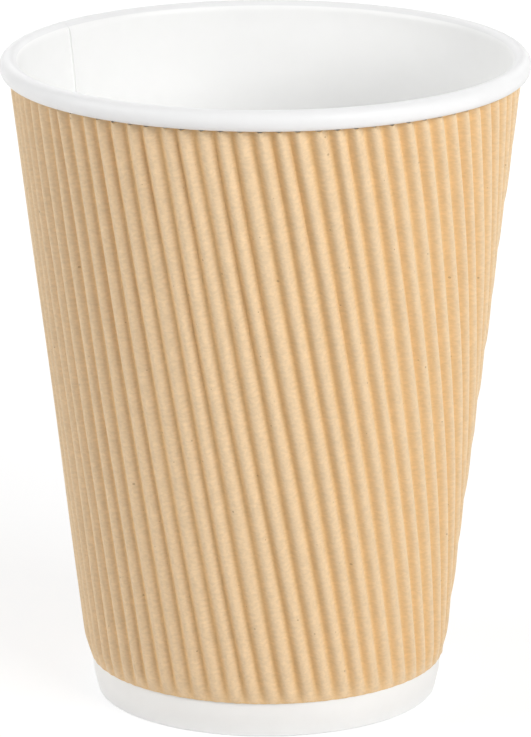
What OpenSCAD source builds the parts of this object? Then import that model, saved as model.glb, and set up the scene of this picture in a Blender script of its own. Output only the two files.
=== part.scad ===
// Paper hot-drink cup with a corrugated kraft sleeve, in millimetres.
// The cup stands on z = 0 with its axis on Z, and its front is towards -Y.

/* [Cup] */
// Height over the rolled rim
cup_h = 112; // [95:1:130]
// Outside diameter of the rolled rim
rim_d = 90; // [84:0.5:98]
// Diameter at which the wall's slope meets the table
foot_d = 58.4; // [52:0.2:64]
// Thickness of the white paperboard of the wall
board_t = 0.35; // [0.25:0.05:0.45]

/* [Rolled rim] */
// Width of the roll, seen in section
roll_w = 3.2; // [2.8:0.1:4.2]
// Height of the roll, seen in section
roll_h = 3.6; // [3:0.1:4.6]
// How far the board turns round in the roll, in degrees
roll_turn = 405; // [360:5:420]

/* [Base] */
// Height of the base disc's top face above the table
disc_z = 8.6; // [7:0.2:12]
// Thickness of the base disc's paperboard
disc_t = 0.3; // [0.2:0.05:0.4]
// Length of the base disc's turned-down skirt
skirt_h = 7; // [5:0.5:7]
// Height of the wall's hem, folded up inside the skirt
hem_h = 6.4; // [4:0.2:6.6]
// Height of the widest line of the pressed base ring
ring_z = 3.5; // [2.5:0.1:4.5]
// How far the pressed base ring stands out from the wall's slope
ring_out = 0.4; // [0.1:0.05:0.6]

/* [Wall seam] */
// Width of the wall's lapped seam at the rim
seam_w = 7; // [4:0.5:10]
// Direction of the seam's inner edge, anticlockwise from +X, in degrees
seam_dir = 144; // [0:1:359]

/* [Sleeve] */
// Height of the sleeve's lower edge above the table
sleeve_z = 6.1; // [4.5:0.1:16]
// Gap between the rolled rim and the sleeve's upper edge
rim_gap = 0.2; // [0.2:0.1:12]
// Thickness of the kraft paper
kraft_t = 0.2; // [0.15:0.05:0.35]
// Height of the flutes over both faces of the corrugated sheet, at the sleeve's upper edge
flute_h = 1.35; // [1.1:0.05:1.8]
// Share of that height that is left at the sleeve's lower edge
low_flute = 0.8; // [0.6:0.05:1]
// Distance from one flute to the next
flute_pitch = 3.17; // [3.1:0.01:6]
// Distance from the sheet's centre line to the nearest crest
flute_shift = 0; // [-1.5:0.1:1.5]
// Width of the sleeve's pressed and glued lap
sleeve_lap = 8; // [5:0.5:14]
// Direction of the sleeve's lap, anticlockwise from +X, in degrees
sleeve_dir = 4; // [0:1:359]

/* [Hidden] */
$fn = 180;

// Clearance between glued layers of board
glue_gap = 0.05;
// Clearance between the cup's wall and the inner crests of the sleeve
sleeve_gap = 0.05;
// Angle between neighbouring points of a rolled or folded section
arc_step = 22.5;
// Width of the flat under the fold, on which the cup stands
foot_flat = 0.3;
// Inside radius of the base disc's corner
disc_corner = 0.8;

foot_r = foot_d / 2;
roll_r = rim_d / 2 - roll_w / 2;
roll_z = cup_h - roll_h / 2;
// The wall rises from the foot to the inner side of the roll
slope = (rim_d / 2 - roll_w + board_t - foot_r) / roll_z;
slope_a = atan(slope);
// Height at which the pressed base ring has run back into the wall's slope
ring_top = disc_z;
// Distance between the wall and its hem, middle to middle
fold_w = board_t + disc_t + 2 * glue_gap;

function mix(a, b, k) = a + (b - a) * k;
function clamp01(x) = max(0, min(1, x));
function smooth(x) = let(k = clamp01(x)) k * k * (3 - 2 * k);
function reversed(list) = [for (i = [len(list) - 1:-1:0]) list[i]];
function unit(v) = v / norm(v);
function left_of(v) = [-v[1], v[0]];

// Radius of the wall's outer face at a height
function ring_bulge(z) =
    z < ring_z ? ring_out * z / ring_z : ring_out * clamp01((ring_top - z) / (ring_top - ring_z));
function wall_r(z) = foot_r + slope * z + ring_bulge(z);
// Radius of the middle of the board, of the wall or of a layer inside it
function board_r(z, inward = 0) = wall_r(z) - board_t / 2 - inward;

// Direction across a path at one of its points, scaled to keep a sheet's thickness round a bend
function across(path, i) =
    let(
        last = len(path) - 1,
        before = unit(path[max(i, 1)] - path[max(i, 1) - 1]),
        after = unit(path[min(i, last - 1) + 1] - path[min(i, last - 1)]),
        middle = unit(left_of(before) + left_of(after))
    )
    middle / (middle * left_of(before));

// Section of a sheet whose middle follows a path
function sheet_section(path, t) = concat(
    [for (i = [0:len(path) - 1]) path[i] + across(path, i) * t / 2],
    reversed([for (i = [0:len(path) - 1]) path[i] - across(path, i) * t / 2])
);

// The wall's hem, from its upper edge down to the fold
hem_path = [for (z = [hem_h, ring_z]) [board_r(z, fold_w), z]];

// The fold on which the cup stands, with its flat
fold_bend = (fold_w - foot_flat) / 2;
fold_z = fold_bend + board_t / 2;
fold_path = [
    for (side = [-1, 1], a = side < 0 ? [180:arc_step:270] : [270:arc_step:360])
        [board_r(fold_z, fold_w / 2) + side * foot_flat / 2 + fold_bend * cos(a), fold_z + fold_bend * sin(a)]
];

// The wall's slope, from the base ring up to the roll
slope_path = [[board_r(ring_z), ring_z], [board_r(ring_top), ring_top]];

// The rolled rim turns outwards and down, and its edge tucks inside the roll
tuck_start = 240;
tuck = board_t + 2 * glue_gap;
roll_path = [
    for (turn = [0:arc_step:roll_turn])
        let(shrink = tuck * max(0, (turn - tuck_start) / (360 - tuck_start)))
            [
                roll_r + (roll_w / 2 - board_t / 2 - shrink) * cos(180 - turn),
                roll_z + (roll_h / 2 - board_t / 2 - shrink) * sin(180 - turn)
            ]
];

module cup_wall() {
    color("white") {
        rotate_extrude()
            polygon(sheet_section(concat(hem_path, fold_path, slope_path, roll_path), board_t));
        wall_lap();
    }
}

// Second layer of board where the wall's two edges are lapped, on the inside
module wall_lap() {
    lap_a = seam_w / (rim_d / 2) * 180 / PI;
    lap_z = disc_z + 4 * glue_gap;
    // The two layers are fused by this much
    fused = glue_gap;
    layer = board_t - fused;
    rotate([0, 0, seam_dir])
        rotate_extrude(angle = lap_a)
            polygon(sheet_section([for (z = [lap_z, roll_z]) [board_r(z, layer), z]], board_t));
}

module base_disc() {
    corner_z = disc_z - disc_t / 2 - disc_corner;
    corner_r = board_r(corner_z, fold_w / 2) - disc_corner;
    skirt = [for (z = [disc_z - skirt_h, ring_z]) [board_r(z, fold_w / 2), z]];
    corner = [
        for (a = [0:arc_step:90])
            [corner_r + disc_corner * cos(a), corner_z + disc_corner * sin(a)]
    ];
    color("whitesmoke")
        rotate_extrude()
            polygon(sheet_section(concat(skirt, corner, [[0, disc_z - disc_t / 2]]), disc_t));
}

// The sleeve is one corrugated sheet, cut as a sector and bent round the cup. In the flat sheet
// every flute is parallel to the sector's centre line, so on the cup a flute leans more the
// further it lies from that line, and the two edges meet in a herringbone on the opposite side.

sleeve_top = cup_h - roll_h - rim_gap;
crest_out = sleeve_gap + flute_h;
// Distance along the slope from the tip of the crests' cone to a height on it
tip_z = -(foot_r + crest_out / cos(slope_a)) / slope;
function slant(z) = (z - tip_z) / cos(slope_a);
slant_low = slant(sleeve_z);
slant_top = slant(sleeve_top);

// Half of the sector's angle, with half of the lap
lap_r = wall_r((sleeve_z + sleeve_top) / 2) + crest_out;
half_lap_a = sleeve_lap / 2 / lap_r * 180 / PI;
half_sector = (180 + half_lap_a) * sin(slope_a);
half_w = slant_top * sin(half_sector);

// Each flute has a flat crest and a flat valley, and the slopes between them
crest_w = 0.3 * flute_pitch;
valley_w = 0.15 * flute_pitch;
flank_w = (flute_pitch - crest_w - valley_w) / 2;
flank_a = atan((flute_h - kraft_t) / flank_w);
// The inner face turns its corners this much nearer the middle of a crest
corner_shift = kraft_t * tan(flank_a / 2);

// Places of the corners across the flat sheet: distance from its centre line, and crest or valley
function flute_corners(shift) = [
    for (i = [floor(-half_w / flute_pitch):ceil(half_w / flute_pitch)])
        let(crest = flute_shift + i * flute_pitch, valley = crest + flute_pitch / 2)
            each [
                [crest - crest_w / 2 + shift, 1],
                [crest + crest_w / 2 - shift, 1],
                [valley - valley_w / 2 - shift, 0],
                [valley + valley_w / 2 + shift, 0]
            ]
];
// Corners of the outer face that lie on the sheet, taken in pairs with those of the inner face
outer_all = flute_corners(0);
inner_all = flute_corners(corner_shift);
edge_room = 2 * corner_shift;
kept = [for (i = [0:len(outer_all) - 1]) if (abs(outer_all[i][0]) < half_w - edge_room) i];
outer_cols = concat([[-half_w, 1]], [for (i = kept) outer_all[i]], [[half_w, 1]]);
inner_cols = concat([[-half_w, 1]], [for (i = kept) inner_all[i]], [[half_w, 1]]);

// Heights of the rows of points: two short ones where the lower edge is pressed in, then even ones
press_h = 4.6;
row_count = 5;
row_step = (slant_top - slant_low - press_h) / row_count;
rows = concat([0, press_h * 0.4], [for (i = [0:row_count]) press_h + i * row_step]);

// A straight stretch of a leaning flute cuts inside the round wall by this much
function chord_sink(lean) =
    pow(row_step / cos(lean) * sin(lean), 2) / 8 / (slant_low * sin(slope_a));
sink = chord_sink(half_sector);

// Depth below the cone of the full crests, before the edges are pressed, at a share of the
// sleeve's height
function flute_depth(crest, lean, rise) =
    crest ? (flute_h - kraft_t) * (1 - low_flute) * (1 - rise) : flute_h - kraft_t - chord_sink(lean);
// Depth of the two pressed layers of the lap: the outer one on the side of +1
function lap_depth(side) =
    side > 0 ? flute_h - 2 * (kraft_t + sink) - glue_gap : flute_h - kraft_t - sink;
// The lower edge is pressed on to the base ring
edge_depth = crest_out - ring_bulge(sleeve_z) - kraft_t - 2 * glue_gap;
edge_relief = 0.15;

// Point of one face of the sheet: w across the flat sheet, and k from the lower to the upper edge
function sleeve_point(col, k, inner) =
    let(
        w = col[0],
        low = max(slant_low, abs(w) / sin(half_sector)),
        s = mix(low, slant_top, k / (slant_top - slant_low)),
        lean = asin(w / s),
        edge_mm = (half_sector - abs(lean)) * PI / 180 * s,
        lapped = smooth((2 * sleeve_lap - edge_mm) / sleeve_lap),
        pressed = pow(clamp01(1 - (s - slant_low) / press_h), 2),
        rise = (s - slant_low) / (slant_top - slant_low),
        plain = mix(flute_depth(col[1], lean, rise), lap_depth(sign(w)), lapped),
        relief = max(col[1] * edge_relief, w > 0 ? lapped * (edge_depth - plain) : 0),
        low_edge = edge_depth - relief,
        depth = mix(plain, low_edge, pressed) + (inner ? kraft_t : 0),
        r = s * sin(slope_a) - depth * cos(slope_a),
        z = tip_z + s * cos(slope_a) + depth * sin(slope_a),
        a = sleeve_dir + 180 + lean / sin(slope_a)
    )
    [r * cos(a), r * sin(a), z];

// Two triangles for each cell, turned so that they face outwards
function cell(a, b, c, d) = [[a, b, c], [a, c, d]];

module ripple_sleeve() {
    cols = len(outer_cols);
    n = len(rows);
    points = concat(
        [for (c = outer_cols) each [for (k = rows) sleeve_point(c, k, false)]],
        [for (c = inner_cols) each [for (k = rows) sleeve_point(c, k, true)]]
    );
    inner = cols * n;
    top = n - 1;
    faces = [
        for (a = [0:n:(cols - 2) * n])
            let(b = a + n)
                each concat(
                    [for (i = [0:top - 1]) each cell(a + i, a + i + 1, b + i + 1, b + i)],
                    [for (i = [inner:inner + top - 1]) each cell(b + i, b + i + 1, a + i + 1, a + i)],
                    cell(a, b, inner + b, inner + a),
                    cell(a + top, inner + a + top, inner + b + top, b + top)
                )
    ];
    color("burlywood")
        polyhedron(points, faces, convexity = 12);
}

cup_wall();
base_disc();
ripple_sleeve();
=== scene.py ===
"""Paper coffee cup with a corrugated kraft sleeve: its surfaces, built around the packed frame"""

import bmesh
import bpy
import numpy as np
from bpy.props import FloatProperty, FloatVectorProperty, IntProperty, PointerProperty
from mathutils import Euler, Matrix, Vector


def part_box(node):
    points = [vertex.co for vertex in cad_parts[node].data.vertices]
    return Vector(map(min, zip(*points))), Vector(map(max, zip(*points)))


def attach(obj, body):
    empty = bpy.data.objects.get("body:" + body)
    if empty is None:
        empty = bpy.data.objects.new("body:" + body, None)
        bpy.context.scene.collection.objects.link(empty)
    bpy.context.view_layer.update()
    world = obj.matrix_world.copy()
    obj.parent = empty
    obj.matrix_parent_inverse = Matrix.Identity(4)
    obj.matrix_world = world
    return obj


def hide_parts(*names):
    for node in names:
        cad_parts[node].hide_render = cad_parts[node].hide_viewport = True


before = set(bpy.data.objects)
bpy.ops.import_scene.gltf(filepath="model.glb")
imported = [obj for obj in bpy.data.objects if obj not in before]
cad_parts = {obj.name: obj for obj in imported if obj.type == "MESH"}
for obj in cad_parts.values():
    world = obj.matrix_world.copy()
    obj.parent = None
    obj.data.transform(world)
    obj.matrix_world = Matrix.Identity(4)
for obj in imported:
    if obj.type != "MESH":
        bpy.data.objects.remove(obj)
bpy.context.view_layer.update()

bl_info = {
    "name": "Paper Cup with Ripple Sleeve",
    "version": (1, 0, 0),
    "blender": (4, 5, 0),
    "location": "View3D > Sidebar > Paper Cup",
    "description": "Builds a rolled-rim paper cup in a corrugated kraft sleeve",
    "category": "Add Mesh",
}

MM = 0.001
BODY = "root"
WALL_LOW, WALL_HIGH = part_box("cup_wall")
DISC_LOW, DISC_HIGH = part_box("base_disc")
SLEEVE_LOW, SLEEVE_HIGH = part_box("ripple_sleeve")

# The cup's small sizes, which the frame's boxes don't give
GLUE_GAP = 0.05 * MM  # between two glued layers of board
BASE_BOARD = 0.3 * MM  # thickness of the base disc's board
FOOT_FLAT = 0.3 * MM  # width of the flat ring on which the cup stands
LAP_STEP = 2 * MM  # height over which the lap changes from standing out to stepping in
SEAM_CUT = np.radians(0.06)  # half the width of the step at a cut edge of the lap
SEAM_BLEND = np.radians(14)  # angle over which the board settles beside the lap
WALL_BOW = 0.05 * MM  # how far the wall bows in and out
WALL_SEED = 3  # starting number of the bow
DISC_CORNER = 0.8 * MM  # middle radius of the bend between the disc and its skirt
DISC_BORDER = 2.5 * MM  # width of the disc's raised border
DISC_SLOPE = 1.6 * MM  # width of the slope inside the border
DISC_PRESS = 0.35 * MM  # depth of the disc's pressed middle

# The sleeve's small sizes
SLEEVE_GAP = 0.02 * MM  # between the wall and the flutes' inner crests
TOP_GAP = 0.1 * MM  # from the solid's top down to the sheet's upper edge
EDGE_NICK = 0.02 * MM  # unevenness of the cut edges
CREST_DROP = 0.12 * MM  # how much lower the crests end than the valleys, under the rim
TOP_BAND = 1.6 * MM  # width of the band in which the flutes narrow at the upper edge
FOOT_BAND = 4.6 * MM  # width of the band that is pressed on to the base ring
FOOT_GAP = 0.06 * MM  # between the base ring, the pressed band and its lap
FOOT_RELIEF = 0.07 * MM  # height of what is left of the flutes at the lower edge
LAP_BLEND = 2.5 * MM  # width over which the flutes flatten towards the lap
LAP_LIFT = 0.22 * MM  # between the lap's two layers
LAP_RELIEF = 0.2 * MM  # height of what is left of the flutes in the lap


class CupSizes(bpy.types.PropertyGroup):
    """Sizes of the white cup: its wall, rolled rim and base"""

    height: FloatProperty(
        name="Height", description="Height over the rolled rim",
        default=WALL_HIGH.z, min=0.08, max=0.2, unit="LENGTH", precision=5,
    )
    rim_diameter: FloatProperty(
        name="Rim Diameter", description="Outside diameter of the rolled rim",
        default=WALL_HIGH.x - WALL_LOW.x, min=0.06, max=0.12, unit="LENGTH", precision=5,
    )
    foot_diameter: FloatProperty(
        name="Foot Diameter", description="Diameter at which the wall's slope meets the table",
        default=58.4 * MM, min=0.04, max=0.09, unit="LENGTH", precision=5,
    )
    board: FloatProperty(
        name="Board", description="Thickness of the white paperboard",
        default=0.35 * MM, min=0.0002, max=0.001, unit="LENGTH", precision=5,
    )
    roll_width: FloatProperty(
        name="Roll Width", description="Width of the rolled rim in section",
        default=3.2 * MM, min=0.002, max=0.006, unit="LENGTH", precision=5,
    )
    roll_height: FloatProperty(
        name="Roll Height", description="Height of the rolled rim in section",
        default=3.6 * MM, min=0.002, max=0.006, unit="LENGTH", precision=5,
    )
    ring_height: FloatProperty(
        name="Ring Height", description="Height of the widest line of the pressed base ring",
        default=3.5 * MM, min=0.001, max=0.008, unit="LENGTH", precision=5,
    )
    ring_out: FloatProperty(
        name="Ring Stand-out", description="How far the base ring stands out from the wall's slope",
        default=0.4 * MM, min=0.0, max=0.001, unit="LENGTH", precision=5,
    )
    hem_height: FloatProperty(
        name="Hem Height", description="Height of the hem folded up inside the base",
        default=6.4 * MM, min=0.003, max=0.01, unit="LENGTH", precision=5,
    )
    seam_direction: FloatProperty(
        name="Seam Direction", description="Direction of the seam's inner edge, from +X",
        default=np.radians(144.3), min=0.0, max=2 * np.pi, subtype="ANGLE", unit="ROTATION",
    )
    seam_width: FloatProperty(
        name="Seam Width", description="Width of the lapped seam at the rim",
        default=7.0 * MM, min=0.003, max=0.015, unit="LENGTH", precision=5,
    )


class SleeveSizes(bpy.types.PropertyGroup):
    """Sizes of the corrugated sleeve"""

    paper: FloatProperty(
        name="Paper", description="Thickness of the kraft paper",
        default=0.18 * MM, min=0.0001, max=0.001, unit="LENGTH", precision=5,
    )
    flute_height: FloatProperty(
        name="Flute Height", description="Height of the flutes over both faces of the sheet",
        default=1.37 * MM, min=0.0005, max=0.003, unit="LENGTH", precision=5,
    )
    pitch: FloatProperty(
        name="Pitch", description="Distance from one flute to the next",
        default=3.17 * MM, min=0.002, max=0.01, unit="LENGTH", precision=5,
    )
    shift: FloatProperty(
        name="Shift", description="Distance from the sheet's centre line to the nearest crest",
        default=-0.05 * MM, min=-0.003, max=0.003, unit="LENGTH", precision=5,
    )
    crest: FloatProperty(
        name="Crest Breadth", description="Power of the flutes' section at a crest",
        default=1.85, min=1.2, max=4.0,
    )
    valley: FloatProperty(
        name="Valley Breadth", description="Power of the flutes' section at a valley",
        default=0.7, min=0.4, max=1.5,
    )
    lap_direction: FloatProperty(
        name="Lap Direction", description="Direction of the pressed lap, from +X",
        default=np.radians(4.4), min=0.0, max=2 * np.pi, subtype="ANGLE", unit="ROTATION",
    )
    lap_width: FloatProperty(
        name="Lap Width", description="Width of the pressed and glued lap",
        default=8.0 * MM, min=0.004, max=0.02, unit="LENGTH", precision=5,
    )
    unevenness: FloatProperty(
        name="Unevenness", description="How far a flute wanders from its straight line",
        default=0.07 * MM, min=0.0, max=0.001, unit="LENGTH", precision=5,
    )
    seed: IntProperty(
        name="Seed", description="Starting number of the unevenness", default=7, min=0,
    )


def linear_colour(code):
    """sRGB hex code, such as #E3C49B, as linear red, green and blue"""
    srgb = [int(code[i:i + 2], 16) / 255 for i in (1, 3, 5)]
    return [c / 12.92 if c <= 0.04045 else ((c + 0.055) / 1.055) ** 2.4 for c in srgb]


def colour_property(name, description, code):
    """Colour property that starts from an sRGB hex code"""
    return FloatVectorProperty(
        name=name, description=description, default=linear_colour(code),
        size=3, min=0.0, max=1.0, subtype="COLOR",
    )


class Finishes(bpy.types.PropertyGroup):
    """Colours of the papers and of the stage"""

    board: colour_property("Board", "Clay-coated cup board, outside", "#F6F6F5")
    lining: colour_property("Lining", "Cup board under its plastic lining, inside", "#FBFBFA")
    # The rim is the same lined board as the inside, with its colour painted greyer as shade on the
    # roll
    rim: colour_property("Rim", "Lined board of the roll, painted greyer as shade", "#F1F1F1")
    board_edge: colour_property("Board Edge", "Cut edge of the cup board", "#E9E4DA")
    # The crest colour is a painted highlight, paler, and the valley colour a painted shade,
    # browner; the colour between them is the kraft's own
    kraft_painted_highlight: colour_property("Kraft, Crests", "Kraft paper, rubbed pale", "#E7CCA5")
    kraft: colour_property("Kraft", "Unbleached kraft paper", "#E3C08E")
    kraft_painted_shade: colour_property("Kraft, Valleys", "Kraft paper, a little browner", "#E4BC83")
    kraft_fleck: colour_property("Kraft Fleck", "Bark and dark fibres in the kraft", "#8A6440")
    kraft_edge: colour_property("Kraft Edge", "Cut edge of the kraft paper", "#E6D2B4")
    floor: colour_property("Floor", "Pale floor under the cup", "#F4F4F4")


def clamp01(x):
    return np.clip(x, 0.0, 1.0)


def smooth(x):
    """0 to 1 with level ends, for x from 0 to 1"""
    k = clamp01(x)
    return k * k * (3 - 2 * k)


def mix(a, b, k):
    return a + (b - a) * k


def soft_waves(rng, x, y, size_x, size_y, count=14):
    """Unevenness of a sheet, about one unit high: random waves of about the given sizes"""
    total = np.zeros(np.broadcast(x, y).shape)
    for _ in range(count):
        turn = rng.uniform(0, 2 * np.pi)
        stretch = rng.uniform(0.6, 1.5)
        phase = rng.uniform(0, 2 * np.pi)
        total += np.sin(
            2 * np.pi * stretch * (x / size_x * np.cos(turn) + y / size_y * np.sin(turn)) + phase
        )
    return total / np.sqrt(count / 2)


class Cone:
    """The wall's outer face: its slope, its radius at a height and the pressed base ring"""

    def __init__(self, cup):
        self.foot = cup.foot_diameter / 2
        self.roll_r = cup.rim_diameter / 2 - cup.roll_width / 2
        self.roll_z = cup.height - cup.roll_height / 2
        inner_top = cup.rim_diameter / 2 - cup.roll_width
        self.slope = (inner_top + cup.board - self.foot) / self.roll_z
        self.angle = np.arctan(self.slope)
        self.board = cup.board
        self.seam = cup.seam_direction
        self.seam_a = cup.seam_width / (cup.rim_diameter / 2)
        self.ring_z = cup.ring_height
        self.ring_out = cup.ring_out
        self.ring_top = DISC_HIGH.z

    def bulge(self, z):
        rise = z / self.ring_z
        fall = 1 - smooth((z - self.ring_z) / (self.ring_top - self.ring_z))
        return self.ring_out * np.where(z < self.ring_z, rise, fall)

    def radius(self, z):
        return self.foot + self.slope * z + self.bulge(z)

    def past_seam(self, around):
        """Angle from the seam's first edge towards its last one"""
        return np.mod(self.seam - around + np.pi, 2 * np.pi) - np.pi

    def above_disc(self, z):
        """0 beside the base disc, where the lap stands out, and 1 above it, where it steps in"""
        return np.interp(z, [DISC_HIGH.z, DISC_HIGH.z + LAP_STEP], [0, 1])

    def seam_cover(self, around, z):
        """How far a sheet round the wall is pushed out by the lap beside the base disc"""
        past = self.past_seam(around)
        rise = smooth((past + SEAM_BLEND) / SEAM_BLEND)
        fall = 1 - smooth((past - self.seam_a) / (SEAM_BLEND / 2))
        return self.board * (1 - self.above_disc(z)) * rise * fall


def path_normals(path):
    """Unit directions to the left of a path, at each of its points"""
    step = np.gradient(path, axis=0)
    step /= np.linalg.norm(step, axis=1)[:, None]
    return np.stack([-step[:, 1], step[:, 0]], axis=1)


def arc(centre, radii, start, end, step=15):
    """Points of an arc, with angles in degrees"""
    count = max(2, int(abs(end - start) / step) + 1)
    turn = np.radians(np.linspace(start, end, count))
    return [(centre[0] + radii[0] * np.cos(a), centre[1] + radii[1] * np.sin(a)) for a in turn]


class Patchwork:
    """Grids of points that become one closed mesh"""

    def __init__(self):
        self.points = []
        self.faces = []
        self.materials = []
        self.values = []
        self.count = 0

    def grid(self, points, material, value=None, flip=False):
        """Adds a grid of points, rows by columns, as quads of one material"""
        rows, cols = points.shape[:2]
        index = self.count + np.arange(rows * cols).reshape(rows, cols)
        quads = np.stack(
            [index[:-1, :-1], index[:-1, 1:], index[1:, 1:], index[1:, :-1]], axis=-1
        ).reshape(-1, 4)
        self.points.append(points.reshape(-1, 3))
        self.values.append(
            np.zeros((rows * cols, 3)) if value is None else value.reshape(-1, 3)
        )
        self.faces.append(quads[:, ::-1] if flip else quads)
        self.materials.append(np.full(len(quads), material))
        self.count += rows * cols

    def build(self, name, materials, attribute, weld=2e-6, sharp=50):
        """Makes the object, welds the grids' borders and drops what has no area. The weld is
        a distance, and an edge of more than the sharp angle, in degrees, isn't smoothed."""
        mesh = bpy.data.meshes.new(name)
        mesh.from_pydata(
            np.concatenate(self.points).tolist(), [], np.concatenate(self.faces).tolist()
        )
        mesh.polygons.foreach_set("material_index", np.concatenate(self.materials).astype(int))
        layer = mesh.attributes.new(attribute, "FLOAT_VECTOR", "POINT")
        layer.data.foreach_set("vector", np.concatenate(self.values).astype(np.float32).ravel())
        for material in materials:
            mesh.materials.append(material)
        work = bmesh.new()
        work.from_mesh(mesh)
        bmesh.ops.remove_doubles(work, verts=work.verts, dist=weld)
        bmesh.ops.dissolve_degenerate(work, dist=weld / 4, edges=work.edges)
        bmesh.ops.recalc_face_normals(work, faces=work.faces)
        work.to_mesh(mesh)
        work.free()
        mesh.polygons.foreach_set("use_smooth", np.ones(len(mesh.polygons), bool))
        mesh.set_sharp_from_angle(angle=np.radians(sharp))
        mesh.update()
        piece = bpy.data.objects.new(name, mesh)
        bpy.context.scene.collection.objects.link(piece)
        return piece


def add_node(tree, kind, values=(), links=(), **settings):
    """Adds a shader node with its settings, its input values and the links that feed it"""
    node = tree.nodes.new(kind)
    for key, value in settings.items():
        setattr(node, key, value)
    for key, value in dict(values).items():
        node.inputs[key].default_value = value
    for key, source in dict(links).items():
        tree.links.new(source, node.inputs[key])
    return node


def new_material(name):
    """Empty node material and its output's surface socket"""
    material = bpy.data.materials.new(name)
    material.use_nodes = True
    tree = material.node_tree
    tree.nodes.clear()
    output = add_node(tree, "ShaderNodeOutputMaterial")
    return material, tree, output.inputs["Surface"]


def per_mm(size):
    """Noise scale that gives features of a size in millimetres, for coordinates in metres"""
    return 1000 / size


def cup_board(name, colour, roughness, gloss):
    """Cup board: bleached paperboard, calendered smooth, clay-coated outside and plastic-lined
    inside. To the eye it is white and nearly flat, with a faint cloudiness of the pulp and a
    soft sheen, a little clearer on the lining, which is the smoother side."""
    material, tree, surface = new_material(name)
    place = add_node(tree, "ShaderNodeTexCoord").outputs["Object"]
    # Cloudiness of the pulp, about 4 mm across
    cloud = add_node(
        tree, "ShaderNodeTexNoise", {"Scale": per_mm(4.0), "Detail": 3.0}, {"Vector": place}
    )
    # Fine tooth of the board, about 0.5 mm, coarser than real so that it shows
    tooth = add_node(
        tree, "ShaderNodeTexNoise", {"Scale": per_mm(0.5), "Detail": 2.0}, {"Vector": place}
    )
    dull = [c * 0.98 for c in colour]
    tone = add_node(tree, "ShaderNodeValToRGB", (), {"Fac": cloud.outputs["Fac"]})
    tone.color_ramp.elements[0].position = 0.3
    tone.color_ramp.elements[0].color = (*dull, 1)
    tone.color_ramp.elements[1].position = 0.7
    tone.color_ramp.elements[1].color = (*colour, 1)
    bump = add_node(
        tree, "ShaderNodeBump", {"Strength": 0.12, "Distance": 0.02 * MM},
        {"Height": tooth.outputs["Fac"]},
    )
    shader = add_node(
        tree, "ShaderNodeBsdfPrincipled",
        {"Roughness": roughness, "IOR": 1.5, "Specular IOR Level": gloss},
        {"Base Color": tone.outputs["Color"], "Normal": bump.outputs["Normal"]},
    )
    tree.links.new(shader.outputs["BSDF"], surface)
    return material


def cut_edge(name, colour):
    """Die-cut edge of paper: bare, matt fibres. To the eye it is a thin line, a little duller
    than the face."""
    material, tree, surface = new_material(name)
    place = add_node(tree, "ShaderNodeTexCoord").outputs["Object"]
    fibre = add_node(
        tree, "ShaderNodeTexNoise", {"Scale": per_mm(0.25), "Detail": 2.0}, {"Vector": place}
    )
    tone = add_node(tree, "ShaderNodeValToRGB", (), {"Fac": fibre.outputs["Fac"]})
    tone.color_ramp.elements[0].position = 0.3
    tone.color_ramp.elements[0].color = (*[c * 0.85 for c in colour], 1)
    tone.color_ramp.elements[1].position = 0.7
    tone.color_ramp.elements[1].color = (*colour, 1)
    shader = add_node(
        tree, "ShaderNodeBsdfPrincipled", {"Roughness": 0.95, "IOR": 1.45},
        {"Base Color": tone.outputs["Color"]},
    )
    tree.links.new(shader.outputs["BSDF"], surface)
    return material


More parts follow.
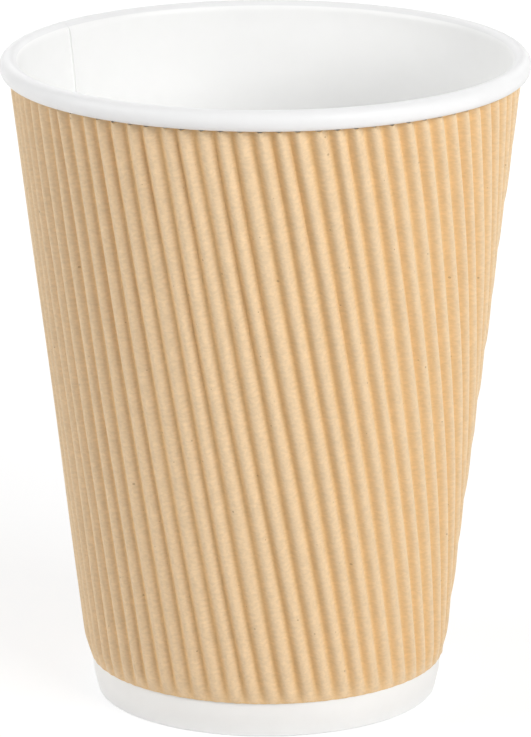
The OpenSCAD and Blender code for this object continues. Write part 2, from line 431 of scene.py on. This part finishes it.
def kraft_paper(finishes):
    """Unbleached kraft paper, dried on smooth rollers and pressed into flutes between hot ones.
    To the eye it is tan, with a soft mottle of the pulp, matted fibres, a few dark flecks of
    bark and a dull sheen along the flutes."""
    material, tree, surface = new_material("unbleached_kraft_paper")
    sheet = add_node(tree, "ShaderNodeAttribute", attribute_name="sheet").outputs["Vector"]
    place = add_node(tree, "ShaderNodeSeparateXYZ", (), {"Vector": sheet})
    # Painted highlight and shade: the crests are painted paler than the valleys, and the valleys
    # browner, as lit crests and shaded valleys look
    tone = add_node(tree, "ShaderNodeValToRGB", (), {"Fac": place.outputs["Z"]})
    ramp = tone.color_ramp
    ramp.elements[0].position = 0.02
    ramp.elements[0].color = (*finishes.kraft_painted_shade, 1)
    ramp.elements[1].position = 0.75
    ramp.elements[1].color = (*finishes.kraft_painted_highlight, 1)
    middle = ramp.elements.new(0.3)
    middle.color = (*finishes.kraft, 1)
    # Mottle of the pulp: cloudy patches about 3 mm across
    patches = add_node(
        tree, "ShaderNodeTexNoise", {"Scale": per_mm(3.0), "Detail": 2.0, "Roughness": 0.5},
        {"Vector": sheet}, noise_dimensions="2D",
    )
    patch_tone = add_node(
        tree, "ShaderNodeMapRange",
        {"From Min": 0.3, "From Max": 0.7, "To Min": 0.975, "To Max": 1.025},
        {"Value": patches.outputs["Fac"]},
    )
    # Matted fibres: a fine speckle, a little longer across the flutes than along them. It is
    # drawn about 0.6 mm coarse so that it shows.
    laid = add_node(
        tree, "ShaderNodeMapping", {"Scale": (per_mm(0.7), per_mm(0.5), 1)}, {"Vector": sheet}
    )
    fibres = add_node(
        tree, "ShaderNodeTexNoise", {"Scale": 1.0, "Detail": 2.0, "Distortion": 0.4},
        {"Vector": laid.outputs["Vector"]}, noise_dimensions="2D",
    )
    fibre_tone = add_node(
        tree, "ShaderNodeMapRange",
        {"From Min": 0.3, "From Max": 0.7, "To Min": 0.94, "To Max": 1.05},
        {"Value": fibres.outputs["Fac"]},
    )
    mottle = add_node(
        tree, "ShaderNodeMath", (),
        {0: patch_tone.outputs["Result"], 1: fibre_tone.outputs["Result"]}, operation="MULTIPLY",
    )
    toned = add_node(
        tree, "ShaderNodeVectorMath", (),
        {0: tone.outputs["Color"], 1: mottle.outputs["Value"]}, operation="MULTIPLY",
    )
    # Flecks of bark, at most 0.4 mm across and about a centimetre apart
    flecks = add_node(
        tree, "ShaderNodeTexVoronoi", {"Scale": per_mm(5.0), "Randomness": 1.0}, {"Vector": sheet},
        voronoi_dimensions="2D",
    )
    fleck_size = add_node(
        tree, "ShaderNodeTexNoise", {"Scale": per_mm(5.0)}, {"Vector": sheet}, noise_dimensions="2D"
    )
    fleck_edge = add_node(
        tree, "ShaderNodeMapRange",
        {"From Min": 0.5, "From Max": 0.7, "To Min": 0.0, "To Max": 0.04},
        {"Value": fleck_size.outputs["Fac"]},
    )
    fleck = add_node(
        tree, "ShaderNodeMath", (),
        {0: flecks.outputs["Distance"], 1: fleck_edge.outputs["Result"]}, operation="LESS_THAN",
    )
    fleck_weight = add_node(
        tree, "ShaderNodeMath", {1: 0.45}, {0: fleck.outputs["Value"]}, operation="MULTIPLY"
    )
    flecked = add_node(
        tree, "ShaderNodeMix", {7: (*finishes.kraft_fleck, 1)},
        {0: fleck_weight.outputs["Value"], 6: toned.outputs["Vector"]}, data_type="RGBA",
    )
    # Tooth of the paper: the fibres and a finer grain stand up a few hundredths of a millimetre
    grain = add_node(
        tree, "ShaderNodeTexNoise", {"Scale": per_mm(0.35), "Detail": 3.0}, {"Vector": sheet},
        noise_dimensions="2D",
    )
    relief = add_node(
        tree, "ShaderNodeMath", (),
        {0: grain.outputs["Fac"], 1: fibres.outputs["Fac"]}, operation="ADD",
    )
    bump = add_node(
        tree, "ShaderNodeBump", {"Strength": 0.35, "Distance": 0.05 * MM},
        {"Height": relief.outputs["Value"]},
    )
    shader = add_node(
        tree, "ShaderNodeBsdfPrincipled",
        {"Roughness": 0.6, "IOR": 1.5, "Specular IOR Level": 0.55, "Diffuse Roughness": 0.3,
         "Sheen Weight": 0.2, "Sheen Roughness": 0.5},
        {"Base Color": flecked.outputs[2], "Normal": bump.outputs["Normal"]},
    )
    tree.links.new(shader.outputs["BSDF"], surface)
    return material


def dress(piece, node):
    """Gives a piece its body and hides the CAD node that it stands for"""
    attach(piece, BODY)
    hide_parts(node)


def fine_azimuths(count, edges):
    """Directions round the cup, even but for a few close ones at each edge of a lap"""
    around = list(np.linspace(0, 2 * np.pi, count, endpoint=False))
    for edge in edges:
        around += [edge + np.radians(d) for d in (-0.5, -0.2, -0.05, 0.05, 0.2, 0.5)]
    around = np.unique(np.round(np.mod(around, 2 * np.pi), 6))
    return np.append(around, around[0] + 2 * np.pi)


class CUP_OT_wall(bpy.types.Operator):
    """Build the cup's wall with its hem, lapped seam and rolled rim"""

    bl_idname = "paper_cup.wall"
    bl_label = "Cup Wall"

    def execute(self, context):
        cup = context.scene.cup_sizes
        looks = context.scene.cup_finishes
        cone = Cone(cup)
        t = cup.board
        fold_w = t + BASE_BOARD + 2 * GLUE_GAP

        def board_r(z, inward=0.0):
            return cone.radius(z) - t / 2 - inward

        # Middle of the board, from the hem's edge, down, round the fold and up to the rim
        flat = FOOT_FLAT / 2
        bend = fold_w / 2 - flat
        fold_z = bend + t / 2
        fold_r = board_r(fold_z, fold_w / 2)
        hem = [(board_r(z, fold_w), z) for z in np.linspace(cup.hem_height, fold_z, 12)]
        fold = arc((fold_r - flat, fold_z), (bend, bend), 180, 270)
        fold += arc((fold_r + flat, fold_z), (bend, bend), 270, 360)
        side_z = np.concatenate([
            np.linspace(fold_z, cone.ring_top, 12)[1:],
            np.linspace(cone.ring_top, cone.roll_z, 44)[1:-1],
        ])
        side = [(board_r(z), z) for z in side_z]
        # The board rolls outwards and down, and after two thirds of a turn tucks in under itself
        turn = np.linspace(0, 405, 55)
        tuck = (t + 2 * GLUE_GAP) * clamp01((turn - 240) / 120)
        tuck = tuck * np.where(turn > 360, turn / 360, 1)
        roll_a = np.radians(180 - turn)
        roll = np.stack([
            cone.roll_r + (cup.roll_width / 2 - t / 2 - tuck) * np.cos(roll_a),
            cone.roll_z + (cup.roll_height / 2 - t / 2 - tuck) * np.sin(roll_a),
        ], axis=1)
        path = np.array(hem[:-1] + fold + side + [tuple(p) for p in roll])
        normal = path_normals(path)
        run = np.arange(len(path))
        roll_start = len(path) - len(roll)

        # The lap: its inner layer steps in at one edge, and the outer face steps in at the other.
        # Beside the base disc it is the outer layer that steps out instead. The lap fades out
        # in the fold, and partly in the roll.
        lap_a = cone.seam_a
        around = fine_azimuths(300, (cone.seam, cone.seam - lap_a))
        past = cone.past_seam(around)
        after_first = smooth((past + SEAM_CUT) / (2 * SEAM_CUT))
        after_last = smooth((past - lap_a + SEAM_CUT) / (2 * SEAM_CUT))
        settle = 1 - smooth((past - lap_a) / SEAM_BLEND)
        rise = smooth((past + SEAM_BLEND) / SEAM_BLEND)
        inward = cone.above_disc(path[:, 1])[:, None]
        share = np.interp(run, [len(hem), len(hem) + len(fold), roll_start, roll_start + 6],
                          [0, 1, 1, 0.35])[:, None]
        left_step = inward * after_first * settle - (1 - inward) * rise * (1 - after_first)
        right_step = inward * after_last * settle - (1 - inward) * rise * (1 - after_last)

        # The wall isn't quite round, and bows in and out a little between its ends, in waves
        # about 26 mm wide and 90 mm high. The last tenth of the round eases them into the first.
        rng = np.random.default_rng(WALL_SEED)
        height = (path[:, 1] / cup.height)[:, None]
        along_mm = around * 40
        up_mm = path[:, 1][:, None] * 1000
        bow = soft_waves(rng, along_mm, up_mm, 26.0, 90.0)
        bow = bow - (bow[:, -1:] - bow[:, :1]) * smooth((around / (2 * np.pi) - 0.9) / 0.1)
        bow = WALL_BOW * bow * smooth(height * 3) * smooth((1 - height) * 8)

        def face(side_sign, step):
            offset = side_sign * t / 2
            r = path[:, :1] + normal[:, :1] * (offset + t * share * step) + bow
            z = path[:, 1:] + normal[:, 1:] * offset
            return np.stack([r * np.cos(around), r * np.sin(around), z + 0 * around], axis=-1)

        # The path runs up the wall, so its left side is the inside of the cup
        left = face(1, left_step)
        right = face(-1, right_step)
        finishes = [
            cup_board("clay_coated_cup_board", looks.board, roughness=0.48, gloss=0.4),
            cup_board("plastic_lined_cup_board", looks.lining, roughness=0.42, gloss=0.3),
            cut_edge("cut_board_edge", looks.board_edge),
            cup_board("rim_board_painted_shade", looks.rim, roughness=0.42, gloss=0.3),
        ]
        outside, inside, cut, rolled = range(len(finishes))
        work = Patchwork()
        # The rim's finish, the lining's board painted greyer as shade, starts where the board has
        # begun to turn over
        crown = roll_start + 5
        work.grid(left[:crown + 1], inside)
        work.grid(left[crown:], rolled)
        work.grid(right, outside, flip=True)
        work.grid(np.stack([right[0], left[0]]), cut)
        work.grid(np.stack([left[-1], right[-1]]), cut)
        piece = work.build("rolled_rim_cup_wall", finishes, "sheet")
        dress(piece, "cup_wall")
        return {"FINISHED"}


class CUP_OT_base(bpy.types.Operator):
    """Build the pressed base disc with its skirt"""

    bl_idname = "paper_cup.base"
    bl_label = "Base Disc"

    def execute(self, context):
        cup = context.scene.cup_sizes
        looks = context.scene.cup_finishes
        cone = Cone(cup)
        t = BASE_BOARD
        fold_w = cup.board + t + 2 * GLUE_GAP

        def skirt_r(z):
            return cone.radius(z) - cup.board / 2 - fold_w / 2

        corner_z = DISC_HIGH.z - t / 2 - DISC_CORNER
        corner_r = skirt_r(corner_z) - DISC_CORNER
        skirt = [(skirt_r(z), z) for z in np.linspace(DISC_LOW.z, corner_z, 10)]
        bend = arc((corner_r, corner_z), (DISC_CORNER, DISC_CORNER), 0, 90)
        # The disc is pressed down by a hair inside a raised border, and is level in its middle
        top_z = DISC_HIGH.z - t / 2
        border = corner_r - DISC_BORDER
        level = border - 1.8 * MM
        plate_r = np.concatenate([
            np.linspace(corner_r, level, 14)[1:], np.linspace(level, 0, 12)[1:]
        ])
        plate = [(r, top_z - DISC_PRESS * smooth((border - r) / DISC_SLOPE)) for r in plate_r]
        path = np.array(skirt[:-1] + bend + plate)
        normal = path_normals(path)
        around = np.linspace(0, 2 * np.pi, 181)

        def face(side_sign):
            at = path + normal * side_sign * t / 2
            r = np.maximum(at[:, :1], 0)
            return np.stack(
                [r * np.cos(around), r * np.sin(around), at[:, 1:] + 0 * around], axis=-1
            )

        # The path runs up the skirt and inwards, so its left side is the underside
        left = face(1)
        right = face(-1)
        finishes = [
            cup_board("plastic_lined_base_board", looks.lining, roughness=0.42, gloss=0.3),
            cup_board("plain_base_board", looks.board, roughness=0.6, gloss=0.3),
            cut_edge("cut_base_edge", looks.board_edge),
        ]
        inside, underside, cut = range(len(finishes))
        work = Patchwork()
        work.grid(left, underside)
        work.grid(right, inside, flip=True)
        work.grid(np.stack([right[0], left[0]]), cut)
        piece = work.build("pressed_base_disc", finishes, "sheet")
        dress(piece, "base_disc")
        return {"FINISHED"}


class CUP_OT_sleeve(bpy.types.Operator):
    """Build the corrugated kraft sleeve"""

    bl_idname = "paper_cup.sleeve"
    bl_label = "Ripple Sleeve"

    def execute(self, context):
        cup = context.scene.cup_sizes
        sleeve = context.scene.sleeve_sizes
        looks = context.scene.cup_finishes
        cone = Cone(cup)
        t = sleeve.paper
        sin_a, cos_a = np.sin(cone.angle), np.cos(cone.angle)
        crest_out = SLEEVE_GAP + sleeve.flute_height
        low_z, top_z = SLEEVE_LOW.z, SLEEVE_HIGH.z - TOP_GAP
        tip_z = -(cone.foot + crest_out / cos_a) / cone.slope
        slant_low = (low_z - tip_z) / cos_a
        slant_top = (top_z - tip_z) / cos_a
        middle_r = cone.radius((low_z + top_z) / 2) + crest_out
        half_sector = (np.pi + sleeve.lap_width / 2 / middle_r) * sin_a
        half_w = slant_top * np.sin(half_sector)
        relief = sleeve.flute_height - t
        length = slant_top - slant_low

        # Places across the flat sheet, the same number in each flute, and none of them so near
        # to a cut end that it makes a sliver
        per_flute = 12
        step = sleeve.pitch / per_flute
        margin = 0.3 * step
        first = int(np.ceil((-half_w + margin - sleeve.shift) / step))
        last = int(np.floor((half_w - margin - sleeve.shift) / step))
        across = sleeve.shift + step * np.arange(first, last + 1)
        across = np.concatenate([[-half_w], across, [half_w]])

        # Places up the flat sheet: close together at both cut edges
        low_rows = np.array([0, 0.3, 0.6, 1.0, 1.5, 2.1, 2.8, 3.6, 4.6]) * MM
        top_rows = length - np.array([1.4, 0.8, 0.35, 0]) * MM
        between = np.linspace(low_rows[-1], top_rows[0], 46)[1:-1]
        outer_rows = np.concatenate([low_rows, between, top_rows])
        inner_rows = np.concatenate([low_rows[::2], between[2::4], top_rows[::3]])

        def wave(w):
            """Height of the outer face over the valleys, as a share of the relief"""
            phase = (w - sleeve.shift) / sleeve.pitch
            dip = np.abs(np.sin(np.pi * phase)) ** sleeve.crest
            return (1 - dip + 0.004) ** sleeve.valley

        def sheet_points(w, rows, inner):
            """One face of the sheet: points for each row and column"""
            low = np.maximum(slant_low, np.abs(w) / np.sin(half_sector))
            s = low + rows[:, None] / length * (slant_top - low)
            lean = np.arcsin(np.clip(w / s, -1, 1))
            rng = np.random.default_rng(sleeve.seed)
            x, y = w * 1000, s * 1000
            wander = soft_waves(rng, x, y, 9.0, 60.0) * sleeve.unevenness
            lively = 1 + 0.05 * soft_waves(rng, x, y, 7.0, 45.0)
            edge_nick = soft_waves(rng, x, 0 * y, 2.2, 50.0) * EDGE_NICK
            # Outer face in section, and the face below it at a constant thickness. The flutes
            # are pressed lower towards the foot, to four fifths, and narrow at the upper edge.
            z_here = tip_z + s * cos_a
            lively *= mix(0.8, 1.0, clamp01((z_here - 12 * MM) / (93 * MM)))
            topmost = smooth(1 - (slant_top - s) / TOP_BAND)
            h = relief * wave(w) ** (1 + 0.7 * topmost) * lively
            near = 0.02 * MM
            slope = relief * lively * (wave(w + near) - wave(w - near)) / (2 * near)
            lie = np.sqrt(1 + slope ** 2)
            # The sheet is flattened in the lap, and the layers lie one on the other
            from_edge = (half_sector - np.abs(lean)) * s
            lapped = smooth((sleeve.lap_width + LAP_BLEND - from_edge) / LAP_BLEND)
            lower = LAP_RELIEF * wave(w)
            flat = np.where(w > 0, t + LAP_LIFT + lower, lower)
            h = mix(h, flat, lapped)
            keep = 1 - lapped
            # The lower edge is pressed in on to the base ring
            pressed = clamp01(1 - (s - slant_low) / FOOT_BAND) ** 2
            seat = cone.bulge(z_here) + FOOT_GAP - SLEEVE_GAP
            seat = seat + FOOT_RELIEF * wave(w) * (1 - lapped)
            seat = seat + np.where(w > 0, lapped * (t + FOOT_GAP), 0)
            h = mix(h, seat, pressed)
            keep = keep * (1 - 0.75 * pressed)
            depth = relief - h
            shift_w = wander * keep
            if inner:
                depth = depth + t / lie * keep + t * (1 - keep)
                shift_w = shift_w + t * slope / lie * keep
            # The cut edges are a little uneven, and the crests end a little lower under the rim
            # and show their hollow ends
            at_edge = smooth(1 - (s - slant_low) / MM) + smooth((s - slant_top) / MM + 1)
            s_edge = s + edge_nick * at_edge - CREST_DROP * wave(w) ** 4 * topmost * keep
            turned = np.arcsin(np.clip((w + shift_w) / s, -1, 1))
            azimuth = sleeve.lap_direction + np.pi + turned / sin_a
            z = tip_z + s_edge * cos_a + depth * sin_a
            r = s_edge * sin_a - depth * cos_a + cone.seam_cover(azimuth, z)
            points = np.stack([r * np.cos(azimuth), r * np.sin(azimuth), z], axis=-1)
            # The pale crest colour is shifted towards the flank that faces the key light: painted
            # light on one side of each flute, painted shade on the other
            lit = wave(w - 0.08 * sleeve.pitch)
            return points, np.stack([w + 0 * s, s, mix(0.5, lit, keep)], axis=-1)

        outer, outer_sheet = sheet_points(across, outer_rows, False)
        inner, inner_sheet = sheet_points(across, inner_rows, True)
        finishes = [kraft_paper(looks), cut_edge("cut_kraft_edge", looks.kraft_edge)]
        face, cut = range(len(finishes))
        work = Patchwork()
        work.grid(outer, face, outer_sheet)
        work.grid(inner, face, inner_sheet, flip=True)
        work.grid(np.stack([inner[0], outer[0]]), cut)
        work.grid(np.stack([outer[-1], inner[-1]]), cut)
        piece = work.build("ripple_sleeve_kraft", finishes, "sheet", weld=1e-6, sharp=60)
        dress(piece, "ripple_sleeve")
        return {"FINISHED"}


class StageSettings(bpy.types.PropertyGroup):
    """Camera, studio lights and daylight"""

    distance: FloatProperty(
        name="Camera Distance", description="Level distance from the cup's axis to the camera",
        default=0.9489, min=0.1, unit="LENGTH", precision=4,
    )
    eye_height: FloatProperty(
        name="Camera Height", description="Height of the camera above the table",
        default=0.32018, min=0.0, unit="LENGTH", precision=4,
    )
    tilt: FloatProperty(
        name="Camera Tilt", description="How far the camera looks down",
        default=np.radians(15.523), subtype="ANGLE", unit="ROTATION",
    )
    lens: FloatProperty(
        name="Lens", description="Focal length on a sensor 36 mm on its long side",
        default=280.36, min=20.0, unit="CAMERA",
    )
    key_direction: FloatProperty(
        name="Key Direction", description="How far the key light stands to the camera's right",
        default=np.radians(42), subtype="ANGLE", unit="ROTATION",
    )
    key_power: FloatProperty(
        name="Key Power", description="Power of the key light",
        default=7.5, min=0.0, unit="POWER",
    )
    fill_direction: FloatProperty(
        name="Fill Direction", description="How far the fill light stands to the camera's right",
        default=np.radians(-80), subtype="ANGLE", unit="ROTATION",
    )
    fill_power: FloatProperty(
        name="Fill Power", description="Power of the fill light",
        default=5.0, min=0.0, unit="POWER",
    )
    back_power: FloatProperty(
        name="Back Power", description="Power of each of the two lights behind the cup",
        default=1.8, min=0.0, unit="POWER",
    )
    top_power: FloatProperty(
        name="Top Power", description="Power of the light over the cup",
        default=1.2, min=0.0, unit="POWER",
    )
    daylight: FloatProperty(
        name="Daylight", description="Strength of the even light from all round",
        default=0.13, min=0.0,
    )


def place_camera(stage):
    """Camera at the photograph's viewing angle"""
    data = bpy.data.cameras.new("camera")
    data.sensor_width = 36
    data.lens = stage.lens
    data.clip_start = 0.01
    camera = bpy.data.objects.new("camera", data)
    # The photograph is taken a hair off the cup's axis and turned by a ninth of a degree
    camera.location = (-0.09 * MM, -stage.distance, stage.eye_height)
    roll = Matrix.Rotation(np.radians(-0.11), 3, "Z")
    look = Euler((np.pi / 2 - stage.tilt, 0, 0)).to_matrix() @ roll
    camera.rotation_euler = look.to_euler()
    bpy.context.scene.collection.objects.link(camera)
    bpy.context.scene.camera = camera


def place_light(name, azimuth, elevation, size, power):
    """Soft light a metre from the cup's middle; azimuth 0 is at the camera's side"""
    data = bpy.data.lights.new(name, "AREA")
    data.shape = "RECTANGLE"
    data.size, data.size_y = size
    data.energy = power
    light = bpy.data.objects.new(name, data)
    level = np.cos(elevation)
    away = Vector((np.sin(azimuth) * level, -np.cos(azimuth) * level, np.sin(elevation)))
    middle = Vector((0, 0, 0.06))
    light.location = middle + away
    light.rotation_euler = away.to_track_quat("Z", "Y").to_euler()
    bpy.context.scene.collection.objects.link(light)


def seen_directly(tree):
    """1 for rays that show a surface as a background: camera, mirror and clear glass"""
    rays = add_node(tree, "ShaderNodeLightPath")
    either = add_node(
        tree, "ShaderNodeMath", (),
        {0: rays.outputs["Is Camera Ray"], 1: rays.outputs["Is Glossy Ray"]}, operation="MAXIMUM",
    )
    return add_node(
        tree, "ShaderNodeMath", (),
        {0: either.outputs["Value"], 1: rays.outputs["Is Transmission Ray"]}, operation="MAXIMUM",
    ).outputs["Value"]


def light_sky(strength):
    """Even daylight, seen by the camera as plain white"""
    world = bpy.data.worlds.new("daylight")
    world.use_nodes = True
    tree = world.node_tree
    tree.nodes.clear()
    level = add_node(
        tree, "ShaderNodeMapRange", {"To Min": strength, "To Max": 1.0},
        {"Value": seen_directly(tree)},
    )
    sky = add_node(
        tree, "ShaderNodeBackground", {"Color": (1, 1, 1, 1)}, {"Strength": level.outputs["Result"]}
    )
    output = add_node(tree, "ShaderNodeOutputWorld")
    tree.links.new(sky.outputs["Background"], output.inputs["Surface"])
    bpy.context.scene.world = world


def lay_floor(looks):
    """Painted studio table: matt and nearly white, with the cup's soft shadow on it"""
    material, tree, surface = new_material("matt_white_table")
    paint = add_node(
        tree, "ShaderNodeBsdfDiffuse", {"Color": (*looks.floor, 1), "Roughness": 0.5}
    )
    glow = add_node(tree, "ShaderNodeEmission", {"Color": (1, 1, 1, 1), "Strength": 1.1})
    # The table's own shade fades out round the cup, so that it has no edge against the sky
    place = add_node(tree, "ShaderNodeTexCoord").outputs["Object"]
    away = add_node(tree, "ShaderNodeVectorMath", (), {0: place}, operation="LENGTH")
    fade = add_node(
        tree, "ShaderNodeMapRange",
        {"From Min": 0.1, "From Max": 0.5, "To Min": 0.7, "To Max": 1.0},
        {"Value": away.outputs["Value"]},
    )
    share = add_node(
        tree, "ShaderNodeMath", (), {0: seen_directly(tree), 1: fade.outputs["Result"]},
        operation="MULTIPLY",
    )
    seen = add_node(
        tree, "ShaderNodeMixShader", (),
        {"Fac": share.outputs["Value"], 1: paint.outputs["BSDF"], 2: glow.outputs["Emission"]},
    )
    tree.links.new(seen.outputs["Shader"], surface)
    mesh = bpy.data.meshes.new("floor")
    half = 3.0
    mesh.from_pydata(
        [(-half, -half, 0), (half, -half, 0), (half, half, 0), (-half, half, 0)], [], [(0, 1, 2, 3)]
    )
    mesh.materials.append(material)
    floor = bpy.data.objects.new("floor", mesh)
    bpy.context.scene.collection.objects.link(floor)


class CUP_OT_stage(bpy.types.Operator):
    """Set up the camera, the soft studio light and the pale floor"""

    bl_idname = "paper_cup.stage"
    bl_label = "Stage"

    def execute(self, context):
        stage = context.scene.cup_stage
        looks = context.scene.cup_finishes
        context.scene.view_settings.view_transform = "Standard"
        place_camera(stage)
        # Name, direction, elevation in degrees, size and power
        lights = (
            ("key_light", stage.key_direction, 27, (0.7, 0.5), stage.key_power),
            ("fill_light", stage.fill_direction, 25, (0.6, 0.6), stage.fill_power),
            ("back_light_right", np.radians(150), 30, (0.6, 0.6), stage.back_power),
            ("back_light_left", np.radians(-160), 30, (0.6, 0.6), stage.back_power),
            ("top_light", 0.0, 89, (0.8, 0.8), stage.top_power),
        )
        for name, direction, elevation, size, power in lights:
            place_light(name, direction, np.radians(elevation), size, power)
        light_sky(stage.daylight)
        lay_floor(looks)
        return {"FINISHED"}


class CUP_PT_panel(bpy.types.Panel):
    """Sidebar panel that lists the cup's pieces and its stage"""

    bl_label = "Paper Cup"
    bl_idname = "CUP_PT_panel"
    bl_space_type = "VIEW_3D"
    bl_region_type = "UI"
    bl_category = "Paper Cup"

    def draw(self, context):
        for group in GROUPS:
            settings = getattr(context.scene, group)
            box = self.layout.box()
            box.label(text=type(settings).__doc__)
            for key in type(settings).__annotations__:
                box.prop(settings, key)
        for operator in OPERATORS:
            self.layout.operator(operator.bl_idname)


OPERATORS = (CUP_OT_wall, CUP_OT_base, CUP_OT_sleeve, CUP_OT_stage)
GROUPS = {
    "cup_sizes": CupSizes,
    "sleeve_sizes": SleeveSizes,
    "cup_finishes": Finishes,
    "cup_stage": StageSettings,
}


def register():
    for group in GROUPS.values():
        bpy.utils.register_class(group)
    for operator in OPERATORS:
        bpy.utils.register_class(operator)
    bpy.utils.register_class(CUP_PT_panel)
    for name, group in GROUPS.items():
        setattr(bpy.types.Scene, name, PointerProperty(type=group))


def unregister():
    for name in GROUPS:
        delattr(bpy.types.Scene, name)
    bpy.utils.unregister_class(CUP_PT_panel)
    for operator in reversed(OPERATORS):
        bpy.utils.unregister_class(operator)
    for group in reversed(list(GROUPS.values())):
        bpy.utils.unregister_class(group)


def main():
    register()
    bpy.ops.paper_cup.stage()
    bpy.ops.paper_cup.wall()
    bpy.ops.paper_cup.base()
    bpy.ops.paper_cup.sleeve()


if __name__ == "__main__":
    main()
